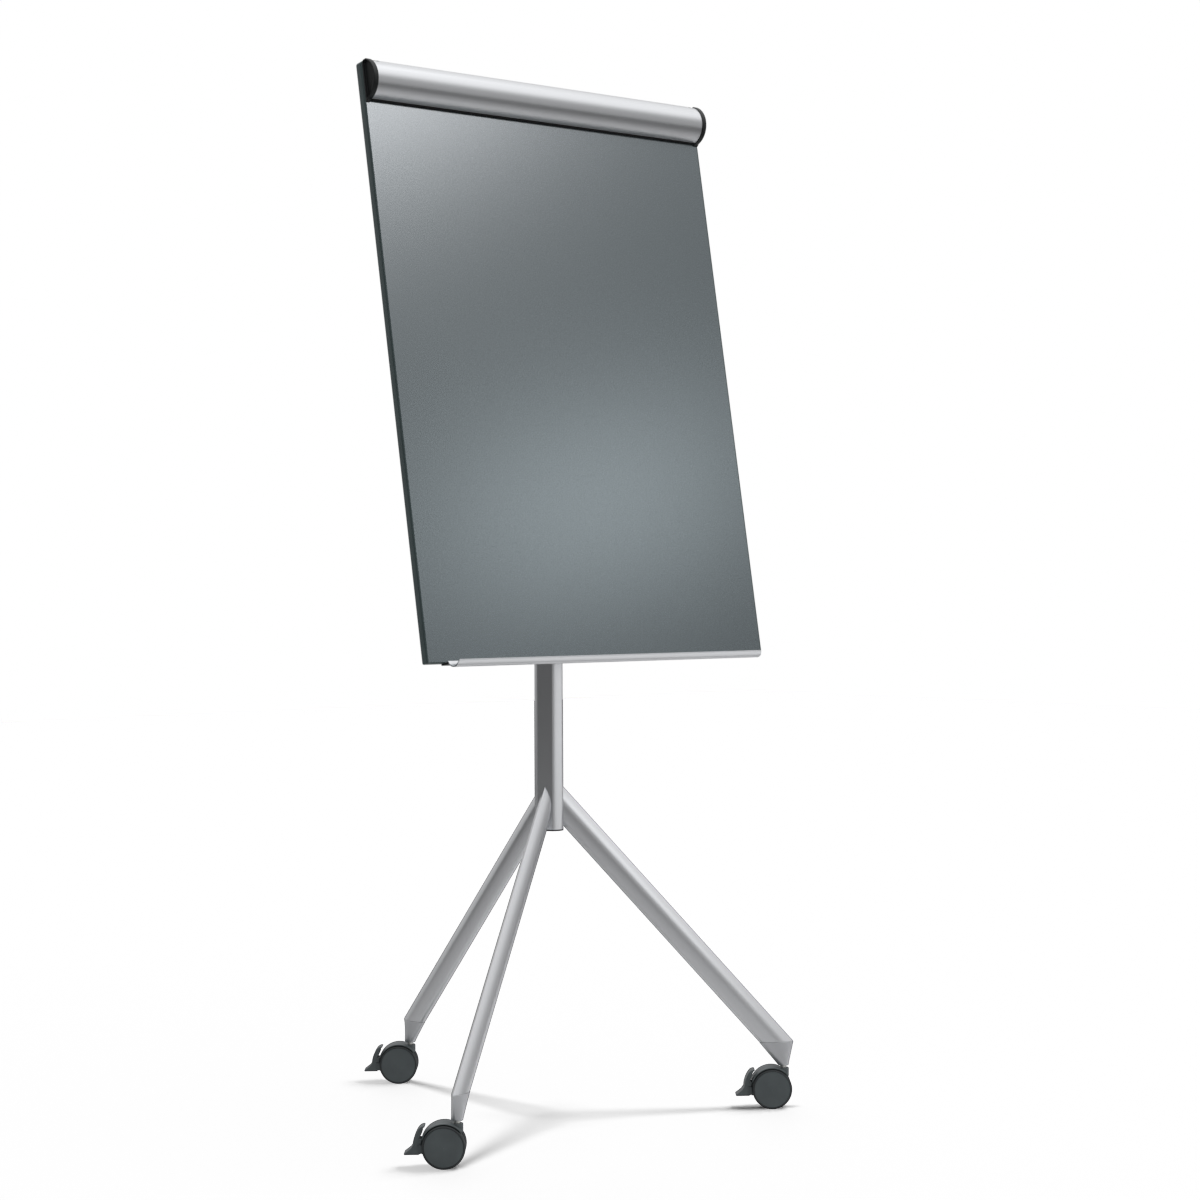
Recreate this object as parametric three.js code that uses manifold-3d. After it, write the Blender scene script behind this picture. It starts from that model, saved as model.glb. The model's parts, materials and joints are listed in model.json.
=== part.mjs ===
// A mobile flipchart easel. Three legs on braked castors hold an upright column. A mast slides in the
// column and carries a board that leans back, with a flip-up paper clamp along its top and a pen tray
// along its bottom. Millimetres, +Z up. The board faces -Y and +X is on the right of a person who reads
// it. The origin is on the floor, under the middle of the whole footprint.
import * as THREE from "three";
import { mergeVertices } from "three/addons/utils/BufferGeometryUtils.js";
import { ConvexGeometry } from "three/addons/geometries/ConvexGeometry.js";
import Module from "manifold-3d";

const wasm = await Module();
wasm.setup();

// ---- Driving dimensions ----

const GAP = 0.3; // between two pieces that touch
const RUNNING = 0.4; // round or beside a piece that moves

// Where the column's axis stands on the floor.
const COLUMN_X = 25;
const COLUMN_Y = -126;

// Column: a round tube with a flat towards each leg.
const COLUMN = { radius: 26, flat: 22, wall: 2.6, bottom: 509, top: 1030 };
const MAST = { radius: 18.5, flat: 16, wall: 2.5, bottom: 740, top: 1318 };
const GLIDE = { flange: 14, spigot: 26 };
const BUSH = { depth: 55, flange: 3.6 };
const PLUG = { flange: 1.4, spigot: 20 };
const COLLAR = { radius: 33, bottom: 988, top: 1045 };
const KNOB = {
  height: 1010, studRadius: 4, bossRadius: 11, bossEnd: 44, radius: 21, lobe: 3, lobes: 5,
  depth: 18,
};

// Legs: one every 120 degrees, from the column's flat to the level seam above the foot.
const LEGS = [
  { name: "left", angle: -150 },
  { name: "right", angle: -30 },
  { name: "rear", angle: 90 },
];
const LEG = { width: 24, height: 46, wall: 2.6, columnZ: 551, seamX: 410, seamZ: 118 };
const LEG_PLUG = { depth: 42 };
const LEG_BOLT = { radius: 4, headRadius: 6.5, head: 5, reach: 16 };
const FOOT = { stemX: 423, bottomZ: 75.5, bottomRadius: 9.5, spigot: 40 };

// Castors: the wheels trail behind the stem, all three the same way.
const CASTOR = { heading: 140, trail: 21, wheelRadius: 35, halfWidth: 24, web: 14 };
const STEM = { radius: 5, bottom: 40, top: 102 };
const AXLE = { radius: 4, halfLength: 18 };
const HOOD = {
  radius: 38.4, wall: 1.8, halfWidth: 20, top: 71, bossRadius: 9.5, from: 20, to: 140, bottom: 22,
};
const WEB = { radius: 33, from: -20 };
const PEDAL = {
  pivotX: 60.5, pivotZ: 43, pinRadius: 2, lugRadius: 3.8, eyeRadius: 5, halfWidth: 13, inner: 42.2,
  outer: 50,
};

// Board: it leans back about its lower front edge.
const BOARD = {
  width: 750, height: 1027, thickness: 16.5, corner: 2.5, topCorner: 6, tilt: 10.18,
  frontY: -150.1, bottomZ: 814,
};
const EDGE = 1.2; // thickness of the edge band
const SHEET = { inset: 0.4, thickness: 0.8 };
const TRAY = {
  length: 683, depth: 34.5, drop: 4.1, lip: 7.2, wall: 1.8, deepest: 22.4, endSlant: 6,
  endRound: 8,
};
const CARRIER = { front: -10, back: 9.5, thickness: 3.1 };

// Paper clamp, in the board's own plane: y runs from the face to the back, z up the board.
const CLAMP = {
  pivotY: -7, pivotZ: 1020.2, rod: 3, knuckle: 6, centreY: 4, centreZ: 993.2, radius: 35.4,
  wall: 2.2,
};
const CLAMP_ENDS = {
  cap: 9, overhang: 1.4, bottom: 954, rim: 2.4, dish: 4, bracket: 10, knuckleHalf: 350,
  clearance: 8.6,
};
const RUBBER = { height: 2.6, depth: 4.9, top: 958.8 };
const RAIL = { length: 690, bottom: 971, height: 18, depth: 6, wall: 1.3, slot: 8 };
const HOOK = { x: 215, width: 24, pinRadius: 3, pinLength: 16 };

// Head: the socket on the mast and the bracket that gives the board its lean.
const SOCKET = { halfWidth: 32, frontY: -32, backY: 34, bottom: 1200, roof: 6.7 };
const BRACKET = { sheet: 4, plateHalfWidth: 80, plateBottom: 380, plateTop: 530 };
const HEAD_BOLTS = [
  { name: "head_bolt_lower", z: 1230 },
  { name: "head_bolt_upper", z: 1294 },
];
const HEAD_BOLT = { y: 27, radius: 4, headRadius: 7, head: 5.5 };

const ROUND = 24; // sides of a small round piece
const FINE = 36; // sides of a larger one
const WHEEL_SIDES = 36;

const MATERIALS = {
  anodised: new THREE.MeshStandardMaterial({ color: 0xc4c6c8, roughness: 0.36, metalness: 0.9 }),
  satinSheet: new THREE.MeshStandardMaterial({ color: 0x9da1a3, roughness: 0.42, metalness: 0.8 }),
  darkEdge: new THREE.MeshStandardMaterial({ color: 0x3f4748, roughness: 0.5, metalness: 0.2 }),
  blackPlastic: new THREE.MeshStandardMaterial({ color: 0x1b1d1e, roughness: 0.5, metalness: 0 }),
  castorPlastic: new THREE.MeshStandardMaterial({ color: 0x2e3334, roughness: 0.48, metalness: 0 }),
  rubber: new THREE.MeshStandardMaterial({ color: 0x0e0f10, roughness: 0.85, metalness: 0 }),
  steel: new THREE.MeshStandardMaterial({ color: 0x9a9c9e, roughness: 0.3, metalness: 1 }),
  core: new THREE.MeshStandardMaterial({ color: 0xb59b78, roughness: 0.9, metalness: 0 }),
};

const radians = THREE.MathUtils.degToRad;
const TILT = radians(BOARD.tilt);

// ---- Solids ----

// A closed geometry as a solid whose faces point out.
function solidOf(geometry) {
  const bare = geometry.index ? geometry.toNonIndexed() : geometry.clone();
  bare.deleteAttribute("normal");
  bare.deleteAttribute("uv");
  const welded = mergeVertices(bare, 1e-4);
  const corners = [];
  for (let i = 0; i < welded.index.count; i += 3) {
    const [a, b, c] = [0, 1, 2].map((k) => welded.index.getX(i + k));
    if (a !== b && b !== c && c !== a) corners.push(a, b, c);
  }
  const build = (triangles) =>
    new wasm.Manifold(
      new wasm.Mesh({
        numProp: 3,
        vertProperties: welded.attributes.position.array,
        triVerts: new Uint32Array(triangles),
      }),
    );
  const made = build(corners);
  if (made.volume() >= 0) return made;
  const turned = corners.slice();
  for (let i = 0; i < turned.length; i += 3) [turned[i + 1], turned[i + 2]] = [turned[i + 2], turned[i + 1]];
  return build(turned);
}

function geometryOf(solid) {
  const mesh = solid.getMesh();
  const geometry = new THREE.BufferGeometry();
  geometry.setAttribute("position", new THREE.Float32BufferAttribute(mesh.vertProperties, mesh.numProp));
  geometry.setIndex(Array.from(mesh.triVerts));
  const flat = geometry.toNonIndexed();
  flat.computeVertexNormals();
  return flat;
}

const union = (...solids) => solids.reduce((whole, next) => whole.add(next));
const cut = (solid, ...tools) => tools.reduce((whole, tool) => whole.subtract(tool), solid);

function piece(name, material, solid) {
  const mesh = new THREE.Mesh(geometryOf(solid), MATERIALS[material]);
  mesh.name = name;
  return mesh;
}

// ---- Shapes ----

// A box between two opposite corners.
function box(low, high) {
  const size = high.map((value, i) => value - low[i]);
  const middle = high.map((value, i) => (value + low[i]) / 2);
  return solidOf(new THREE.BoxGeometry(...size).translate(...middle));
}

// A round bar between two places on an axis that runs along x, y or z.
function bar(axis, radius, from, to, at, sides = ROUND) {
  const geometry = new THREE.CylinderGeometry(radius, radius, Math.abs(to - from), sides);
  geometry.translate(0, (from + to) / 2, 0);
  if (axis === "x") geometry.rotateZ(-Math.PI / 2);
  if (axis === "z") geometry.rotateX(Math.PI / 2);
  return solidOf(geometry.translate(...at));
}

// A flat shape pushed straight up from one level to another.
function upright(shape, bottom, top, arcSteps = 6) {
  const options = { depth: top - bottom, bevelEnabled: false, curveSegments: arcSteps };
  return solidOf(new THREE.ExtrudeGeometry(shape, options).translate(0, 0, bottom));
}

// A shape drawn in (y, z) and pushed along x.
function sideways(shape, from, to, arcSteps = 12) {
  const options = { depth: to - from, bevelEnabled: false, curveSegments: arcSteps };
  const geometry = new THREE.ExtrudeGeometry(shape, options);
  const axes = new THREE.Matrix4().set(0, 0, 1, from, 1, 0, 0, 0, 0, 1, 0, 0, 0, 0, 0, 1);
  return solidOf(geometry.applyMatrix4(axes));
}

// A shape drawn in (x, z) and pushed along y, the same way to both sides of y = 0.
function across(shape, halfWidth, arcSteps = 12) {
  const options = { depth: 2 * halfWidth, bevelEnabled: false, curveSegments: arcSteps };
  const geometry = new THREE.ExtrudeGeometry(shape, options);
  const axes = new THREE.Matrix4().set(1, 0, 0, 0, 0, 0, -1, halfWidth, 0, 1, 0, 0, 0, 0, 0, 1);
  return solidOf(geometry.applyMatrix4(axes));
}

function polygon(points) {
  return new THREE.Shape(points.map(([x, y]) => new THREE.Vector2(x, y)));
}

// The extrusion of column and mast: a circle with one flat towards each leg.
function flattedCircle(radius, flat) {
  const half = Math.acos(flat / radius);
  const shape = new THREE.Shape();
  LEGS.forEach((leg, i) => {
    const next = LEGS[(i + 1) % LEGS.length];
    const turn = i === LEGS.length - 1 ? 2 * Math.PI : 0;
    shape.absarc(0, 0, radius, radians(leg.angle) + half, radians(next.angle) + turn - half, false);
  });
  shape.closePath();
  return shape;
}

// A bar with the column's outline, everywhere larger than a given profile by grow.
function flattedBar(profile, grow, bottom, top) {
  return upright(flattedCircle(profile.radius + grow, profile.flat + grow), bottom, top);
}

function roundedRectangle(low, high, corner, topCorner = corner) {
  const shape = new THREE.Shape();
  shape.absarc(high[0] - corner, low[1] + corner, corner, -Math.PI / 2, 0, false);
  shape.absarc(high[0] - topCorner, high[1] - topCorner, topCorner, 0, Math.PI / 2, false);
  shape.absarc(low[0] + topCorner, high[1] - topCorner, topCorner, Math.PI / 2, Math.PI, false);
  shape.absarc(low[0] + corner, low[1] + corner, corner, Math.PI, 1.5 * Math.PI, false);
  shape.closePath();
  return shape;
}

// ---- Column and mast ----

function columnTube() {
  const bore = flattedBar(COLUMN, -COLUMN.wall, COLUMN.bottom - 1, COLUMN.top + 1);
  const tube = flattedBar(COLUMN, 0, COLUMN.bottom, COLUMN.top);
  const studHole = bar("y", KNOB.studRadius + RUNNING, 0, COLUMN.radius + 5, [0, 0, KNOB.height]);
  const boltHoles = LEGS.map((leg) => {
    const hole = bar("x", LEG_BOLT.radius + GAP, 0, COLUMN.radius + 5, [0, 0, LEG.columnZ]);
    return hole.rotate([0, 0, leg.angle]);
  });
  return piece("column_tube", "anodised", cut(tube, bore, studHole, ...boltHoles));
}

function columnEndPlug() {
  const flange = flattedBar(COLUMN, 0, COLUMN.bottom - GAP - PLUG.flange, COLUMN.bottom - GAP);
  const spigot = flattedBar(COLUMN, -COLUMN.wall - GAP, COLUMN.bottom - 1, COLUMN.bottom + PLUG.spigot);
  return piece("column_end_plug", "blackPlastic", union(flange, spigot));
}

function guideBush() {
  const seat = COLUMN.top + GAP;
  const sleeve = flattedBar(COLUMN, -COLUMN.wall - GAP, COLUMN.top - BUSH.depth, seat + 1);
  const flange = flattedBar(COLUMN, 0, seat, seat + BUSH.flange);
  const bore = flattedBar(MAST, RUNNING, COLUMN.top - BUSH.depth - 1, seat + BUSH.flange + 1);
  const studHole = bar("y", KNOB.studRadius + RUNNING, 0, COLUMN.radius + 5, [0, 0, KNOB.height]);
  return piece("guide_bush", "blackPlastic", cut(union(sleeve, flange), bore, studHole));
}

function clampCollar() {
  const shoulder = COLUMN.top + GAP + BUSH.flange + GAP;
  const ring = bar("z", COLLAR.radius, COLLAR.bottom, COLLAR.top, [0, 0, 0], FINE);
  const boss = bar("y", KNOB.bossRadius, COLUMN.flat, KNOB.bossEnd, [0, 0, KNOB.height]);
  const lowerBore = flattedBar(COLUMN, GAP, COLLAR.bottom - 1, shoulder);
  const upperBore = flattedBar(MAST, 2 * RUNNING, shoulder - 1, COLLAR.top + 1);
  const studHole = bar("y", KNOB.studRadius + RUNNING, 0, KNOB.bossEnd + 1, [0, 0, KNOB.height]);
  return piece("clamp_collar", "blackPlastic", cut(union(ring, boss), lowerBore, upperBore, studHole));
}

// The star knob and its stud turn about an axis along y.
function heightKnob() {
  const star = new THREE.Shape();
  const steps = 40;
  for (let i = 0; i < steps; i += 1) {
    const turn = (2 * Math.PI * i) / steps;
    const radius = KNOB.radius + KNOB.lobe * Math.cos(KNOB.lobes * turn);
    const [x, z] = [radius * Math.cos(turn), radius * Math.sin(turn)];
    if (i === 0) star.moveTo(x, z);
    else star.lineTo(x, z);
  }
  star.closePath();
  const back = KNOB.bossEnd + 2;
  const head = across(star, KNOB.depth / 2).translate([0, back + KNOB.depth / 2, KNOB.height]);
  const hub = bar("y", KNOB.bossRadius - 2, KNOB.bossEnd + RUNNING, back + 1, [0, 0, KNOB.height]);
  const stud = bar("y", KNOB.studRadius, MAST.flat + GAP, back + 1, [0, 0, KNOB.height]);
  return piece("height_knob", "blackPlastic", union(head, hub, stud));
}

function mast() {
  const tube = flattedBar(MAST, 0, MAST.bottom, MAST.top);
  const bore = flattedBar(MAST, -MAST.wall, MAST.bottom - 1, MAST.top + 1);
  return piece("mast", "steel", cut(tube, bore));
}

function mastGlide() {
  const seat = MAST.bottom - GAP;
  const flange = flattedBar(COLUMN, -COLUMN.wall - RUNNING, seat - GLIDE.flange, seat);
  const spigot = flattedBar(MAST, -MAST.wall - GAP, seat - 1, MAST.bottom + GLIDE.spigot);
  return piece("mast_glide", "blackPlastic", union(flange, spigot));
}

// ---- Legs ----

// The drop-shaped outline of a leg tube, smaller by inset: round below, and rising to a ridge above.
function legOutline(inset, count = 28) {
  const points = [];
  const quarter = Math.PI / 2;
  for (let i = 0; i < count; i += 1) {
    const turn = (2 * Math.PI * i) / count;
    const rise = turn < Math.PI ? 1 - Math.abs(turn - quarter) / quarter : Math.sin(turn);
    const side = (LEG.width / 2 - inset) * Math.cos(turn);
    points.push(new THREE.Vector2(side, (LEG.height / 2 - inset) * rise));
  }
  return points;
}

const legStart = { x: COLUMN.flat + GAP, z: LEG.columnZ };
const legSlope = Math.atan2(LEG.columnZ - LEG.seamZ, LEG.seamX - COLUMN.flat);

// The point where the leg's line through (side, rise) of its outline reaches a given x or level z. The leg
// points along +x and goes down.
function legPoint(outlinePoint, reach) {
  const x = legStart.x + outlinePoint.y * Math.sin(legSlope);
  const z = legStart.z + outlinePoint.y * Math.cos(legSlope);
  const run = "x" in reach ? (reach.x - x) / Math.cos(legSlope) : (z - reach.z) / Math.sin(legSlope);
  return new THREE.Vector3(x + run * Math.cos(legSlope), outlinePoint.x, z - run * Math.sin(legSlope));
}

// A straight bar with the leg's outline between two cuts, each upright at an x or level at a z.
function legBar(inset, from, to) {
  const options = { depth: 1, bevelEnabled: false };
  const geometry = new THREE.ExtrudeGeometry(new THREE.Shape(legOutline(inset)), options);
  const position = geometry.getAttribute("position");
  for (let i = 0; i < position.count; i += 1) {
    const corner = new THREE.Vector2(position.getX(i), position.getY(i));
    const placed = legPoint(corner, position.getZ(i) < 0.5 ? from : to);
    position.setXYZ(i, placed.x, placed.y, placed.z);
  }
  return solidOf(geometry);
}

const columnCut = { x: COLUMN.flat + GAP };
const seamCut = { z: LEG.seamZ };

function legTube(leg) {
  const tube = legBar(0, columnCut, seamCut);
  const bore = legBar(LEG.wall, { x: columnCut.x - 5 }, { z: seamCut.z - 5 });
  return piece(`leg_${leg.name}`, "anodised", cut(tube, bore));
}

function legPlug(leg) {
  const body = legBar(LEG.wall + GAP, columnCut, { x: columnCut.x + LEG_PLUG.depth });
  const hole = bar("x", LEG_BOLT.radius + GAP, 0, columnCut.x + LEG_BOLT.reach + 1, [0, 0, LEG.columnZ]);
  return piece(`leg_plug_${leg.name}`, "blackPlastic", cut(body, hole));
}

function legBolt(leg) {
  const inside = COLUMN.flat - COLUMN.wall - GAP;
  const shank = bar("x", LEG_BOLT.radius, inside - 1, columnCut.x + LEG_BOLT.reach, [0, 0, LEG.columnZ]);
  const head = bar("x", LEG_BOLT.headRadius, inside - LEG_BOLT.head, inside, [0, 0, LEG.columnZ], 6);
  return piece(`leg_bolt_${leg.name}`, "steel", union(shank, head));
}

// The foot tapers from the leg's level cut to a small round underside, and a spigot holds it in the leg.
function foot(leg) {
  const top = { z: LEG.seamZ - GAP };
  const rim = legOutline(0).map((corner) => legPoint(corner, top));
  for (let i = 0; i < ROUND; i += 1) {
    const turn = (2 * Math.PI * i) / ROUND;
    const x = FOOT.stemX + FOOT.bottomRadius * Math.cos(turn);
    rim.push(new THREE.Vector3(x, FOOT.bottomRadius * Math.sin(turn), FOOT.bottomZ));
  }
  const taper = solidOf(new ConvexGeometry(rim));
  const spigot = legBar(LEG.wall + GAP, { z: LEG.seamZ + FOOT.spigot }, { z: LEG.seamZ - 2 });
  const stemHole = bar("z", STEM.radius + GAP, FOOT.bottomZ - 1, STEM.top + 1, [FOOT.stemX, 0, 0]);
  return piece(`foot_${leg.name}`, "anodised", cut(union(taper, spigot), stemHole));
}

// ---- Castors, along their own x from stem to wheels, axle along y ----

function castorStem(leg) {
  return piece(`castor_stem_${leg.name}`, "steel", bar("z", STEM.radius, STEM.bottom, STEM.top, [0, 0, 0]));
}

function ringSector(inner, outer, from, to) {
  const shape = new THREE.Shape();
  shape.absarc(CASTOR.trail, CASTOR.wheelRadius, outer, radians(from), radians(to), false);
  shape.absarc(CASTOR.trail, CASTOR.wheelRadius, inner, radians(to), radians(from), true);
  shape.closePath();
  return shape;
}

// The hood: a web between the wheels, a guard over them, the stem's boss, and the brake pedal's lug and
// pin.
function castorHood(leg) {
  const wheelAxis = [CASTOR.trail, 0, CASTOR.wheelRadius];
  const pivot = [PEDAL.pivotX, 0, PEDAL.pivotZ];
  const webHalf = CASTOR.web / 2;
  const disc = bar("y", WEB.radius, -webHalf, webHalf, wheelAxis, WHEEL_SIDES);
  const crown = across(ringSector(WEB.radius - 1, HOOD.radius, WEB.from, HOOD.to), webHalf);
  const below = box([-HOOD.radius, -webHalf - 1, -HOOD.radius], [2 * HOOD.radius, webHalf + 1, HOOD.bottom]);
  const guard = across(ringSector(HOOD.radius - HOOD.wall, HOOD.radius, HOOD.from, HOOD.to), HOOD.halfWidth);
  const boss = bar("z", HOOD.bossRadius, CASTOR.wheelRadius, HOOD.top, [0, 0, 0]);
  const wheelRoom = [-1, 1].map((side) =>
    bar("y", HOOD.radius - HOOD.wall, webHalf, CASTOR.halfWidth, wheelAxis, WHEEL_SIDES).scale([1, side, 1]),
  );
  const lug = bar("y", PEDAL.lugRadius, -webHalf, webHalf, pivot, 16);
  const pin = bar("y", PEDAL.pinRadius, 1 - PEDAL.halfWidth, PEDAL.halfWidth - 1, pivot, 12);
  const stemHole = bar("z", STEM.radius + GAP, STEM.bottom - GAP, HOOD.top + 1, [0, 0, 0], 20);
  const axleHole = bar("y", AXLE.radius + GAP, -CASTOR.web, CASTOR.web, wheelAxis, 16);
  const body = union(cut(union(disc, crown), below), guard, cut(boss, ...wheelRoom), lug, pin);
  return piece(`castor_hood_${leg.name}`, "castorPlastic", cut(body, stemHole, axleHole));
}

function castorAxle(leg) {
  const at = [CASTOR.trail, 0, CASTOR.wheelRadius];
  const axle = bar("y", AXLE.radius, -AXLE.halfLength, AXLE.halfLength, at);
  return piece(`castor_axle_${leg.name}`, "steel", axle);
}

// One wheel: a blind bore on its inner side, a flat tread, a rounded shoulder and a shallow domed face.
// Its sides are set so that one flat of the tread lies on the floor.
function castorWheel(leg, side) {
  const inner = CASTOR.web / 2 + RUNNING;
  const outer = CASTOR.halfWidth;
  const tread = CASTOR.wheelRadius / Math.cos(Math.PI / WHEEL_SIDES);
  const shoulder = 3;
  const rimRadius = tread - shoulder;
  const profile = [new THREE.Vector2(0, AXLE.halfLength + GAP)];
  profile.push(new THREE.Vector2(AXLE.radius + GAP, AXLE.halfLength + GAP));
  profile.push(new THREE.Vector2(AXLE.radius + GAP, inner));
  profile.push(new THREE.Vector2(tread, inner));
  const steps = 3;
  for (let i = 0; i <= steps; i += 1) {
    const turn = ((Math.PI / 2) * i) / steps;
    const radius = rimRadius + shoulder * Math.cos(turn);
    profile.push(new THREE.Vector2(radius, outer - shoulder + (shoulder - 1) * Math.sin(turn)));
  }
  profile.push(new THREE.Vector2(0, outer));
  const wheel = new THREE.LatheGeometry(profile, WHEEL_SIDES, Math.PI / WHEEL_SIDES);
  if (side.sign < 0) wheel.rotateX(Math.PI);
  wheel.translate(CASTOR.trail, 0, CASTOR.wheelRadius);
  return piece(`castor_wheel_${side.name}_${leg.name}`, "castorPlastic", solidOf(wheel));
}

// The brake pedal: a crescent round the hood with an upper prong, a wedge to step on, an eye on each side
// of the hood's lug, and two brake noses that reach in to the treads.
function brakePedal(leg) {
  const [centreX, centreZ] = [CASTOR.trail, CASTOR.wheelRadius];
  const pivot = [PEDAL.pivotX, 0, PEDAL.pivotZ];
  const innerHalf = CASTOR.web / 2 + RUNNING;
  const tread = CASTOR.wheelRadius + RUNNING + GAP;
  const shape = new THREE.Shape();
  shape.absarc(centreX, centreZ, PEDAL.outer, radians(3), radians(37), false);
  shape.lineTo(centreX + 36, centreZ + 33.4);
  shape.lineTo(centreX + 34.4, centreZ + 32.6);
  shape.absarc(centreX, centreZ, PEDAL.inner, radians(38), radians(-17), true);
  shape.lineTo(centreX + 64.4, centreZ - 12.6);
  shape.lineTo(centreX + 64.6, centreZ - 11.4);
  shape.lineTo(centreX + 54, centreZ - 3.4);
  shape.closePath();
  const body = across(shape, PEDAL.halfWidth, 8);
  const lugRoom = bar("y", PEDAL.lugRadius + 2 * RUNNING, -innerHalf, innerHalf, pivot, 16);
  const wheels = bar("y", tread, -PEDAL.halfWidth, PEDAL.halfWidth, [centreX, 0, centreZ], WHEEL_SIDES);
  const sides = [-1, 1].map((side) => {
    const eye = bar("y", PEDAL.eyeRadius, innerHalf, PEDAL.halfWidth, pivot, 16);
    const nose = across(ringSector(tread, PEDAL.inner + 1, -8, 4), PEDAL.halfWidth, 2);
    const outside = box([0, innerHalf, 0], [2 * PEDAL.outer, PEDAL.halfWidth - 1, 2 * PEDAL.outer]);
    return union(cut(eye, wheels), nose.intersect(outside)).scale([1, side, 1]);
  });
  const bore = bar("y", PEDAL.pinRadius + RUNNING, -PEDAL.halfWidth - 1, PEDAL.halfWidth + 1, pivot, 12);
  return piece(`brake_pedal_${leg.name}`, "castorPlastic", cut(union(cut(body, lugRoom), ...sides), bore));
}

// ---- Board, in its own plane: x across, y from the face to the back, z up ----

function boardOutline(inset) {
  const half = BOARD.width / 2 - inset;
  const [corner, topCorner] = [BOARD.corner - inset, BOARD.topCorner - inset];
  return roundedRectangle([-half, inset], [half, BOARD.height - inset], corner, topCorner);
}

// A slab with the board's outline between two depths behind the face.
function boardSlab(inset, front, back) {
  const options = { depth: back - front, bevelEnabled: false, curveSegments: 8 };
  const geometry = new THREE.ExtrudeGeometry(boardOutline(inset), options);
  const axes = new THREE.Matrix4().set(1, 0, 0, 0, 0, 0, -1, back, 0, 1, 0, 0, 0, 0, 0, 1);
  return solidOf(geometry.applyMatrix4(axes));
}

// The edge band in four lengths: the side lengths turn the corners, the others are straight between them.
function edgeBands() {
  const ring = cut(boardSlab(0, 0, BOARD.thickness), boardSlab(EDGE, -1, BOARD.thickness + 1));
  const seam = BOARD.width / 2 - BOARD.topCorner;
  const middle = BOARD.height / 2;
  const top = BOARD.height + 1;
  const room = (x0, x1, z0, z1) => box([x0, -1, z0], [x1, BOARD.thickness + 1, z1]);
  return [
    piece("edge_band_left", "darkEdge", ring.intersect(room(-BOARD.width, -seam, -1, top))),
    piece("edge_band_right", "darkEdge", ring.intersect(room(seam, BOARD.width, -1, top))),
    piece("edge_band_bottom", "darkEdge", ring.intersect(room(GAP - seam, seam - GAP, -1, middle))),
    piece("edge_band_top", "darkEdge", ring.intersect(room(GAP - seam, seam - GAP, middle, top))),
  ];
}

function boardLayers() {
  const inset = EDGE + GAP;
  const faceBack = SHEET.inset + SHEET.thickness;
  const backFront = BOARD.thickness - SHEET.inset - SHEET.thickness;
  return [
    piece("board_face", "satinSheet", boardSlab(inset, SHEET.inset, faceBack)),
    piece("board_core", "core", boardSlab(inset, faceBack + GAP, backFront - GAP)),
    piece("board_back", "satinSheet", boardSlab(inset, backFront, BOARD.thickness - SHEET.inset)),
  ];
}

// ---- Paper clamp, in the board's plane ----

function clampArc(radius, from, to) {
  const shape = new THREE.Shape();
  const inner = radius - CLAMP.wall;
  shape.absarc(CLAMP.centreY, CLAMP.centreZ, radius, from, to, false);
  shape.absarc(CLAMP.centreY, CLAMP.centreZ, inner, to, from, true);
  shape.closePath();
  return shape;
}

function clampCover() {
  const halfLength = BOARD.width / 2 - CLAMP_ENDS.cap - GAP;
  const pivot = [0, CLAMP.pivotY, CLAMP.pivotZ];
  const shell = sideways(clampArc(CLAMP.radius, radians(109), radians(256)), -halfLength, halfLength, 20);
  const knuckle = bar("x", CLAMP.knuckle, -halfLength, halfLength, pivot, ROUND);
  const lipTop = RUBBER.top + GAP + CLAMP.wall;
  const lip = box([-halfLength, -6.4, RUBBER.top + GAP], [halfLength, -0.7 - GAP, lipTop]);
  const bracketRoom = [-1, 1].map((side) => {
    const ends = [side * CLAMP_ENDS.knuckleHalf, side * (halfLength + 1)].sort((a, b) => a - b);
    return bar("x", CLAMP_ENDS.clearance, ...ends, pivot, ROUND);
  });
  const bore = bar("x", CLAMP.rod + RUNNING, -halfLength - 1, halfLength + 1, pivot, ROUND);
  return piece("clamp_cover", "anodised", cut(union(shell, knuckle, lip), ...bracketRoom, bore));
}

// The D-shaped outline of an end cap, smaller by inset, with the hinge's round at the top of its back edge.
function capOutline(inset) {
  const shape = new THREE.Shape();
  const back = -0.8 - inset;
  const round = CLAMP.knuckle + 0.2 - inset;
  const radius = CLAMP.radius + CLAMP_ENDS.overhang - inset;
  shape.moveTo(back, CLAMP_ENDS.bottom + inset);
  shape.lineTo(back, CLAMP.pivotZ);
  shape.absarc(CLAMP.pivotY, CLAMP.pivotZ, round, 0, radians(80), false);
  shape.absarc(CLAMP.centreY, CLAMP.centreZ, radius, radians(116), radians(256), false);
  shape.closePath();
  return shape;
}

function clampEndCap(side) {
  const outerX = BOARD.width / 2;
  const innerX = outerX - CLAMP_ENDS.cap;
  const body = sideways(capOutline(0), innerX, outerX);
  const dish = sideways(capOutline(CLAMP_ENDS.rim), outerX - CLAMP_ENDS.dish, outerX + 1);
  const bore = bar("x", CLAMP.rod + RUNNING, innerX - 1, innerX + 2.4, [0, CLAMP.pivotY, CLAMP.pivotZ]);
  const cap = cut(body, dish, bore);
  return piece(`clamp_end_cap_${side.name}`, "blackPlastic", side.sign > 0 ? cap : cap.mirror([1, 0, 0]));
}

function rubberStrip() {
  const half = BOARD.width / 2 - CLAMP_ENDS.cap - 2;
  const strip = box([-half, -0.7 - RUBBER.depth, RUBBER.top - RUBBER.height], [half, -0.7, RUBBER.top]);
  return piece("rubber_strip", "rubber", strip);
}

function hingeRod() {
  const half = BOARD.width / 2 - CLAMP_ENDS.cap + 1.6;
  return piece("hinge_rod", "steel", bar("x", CLAMP.rod, -half, half, [0, CLAMP.pivotY, CLAMP.pivotZ]));
}

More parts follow.
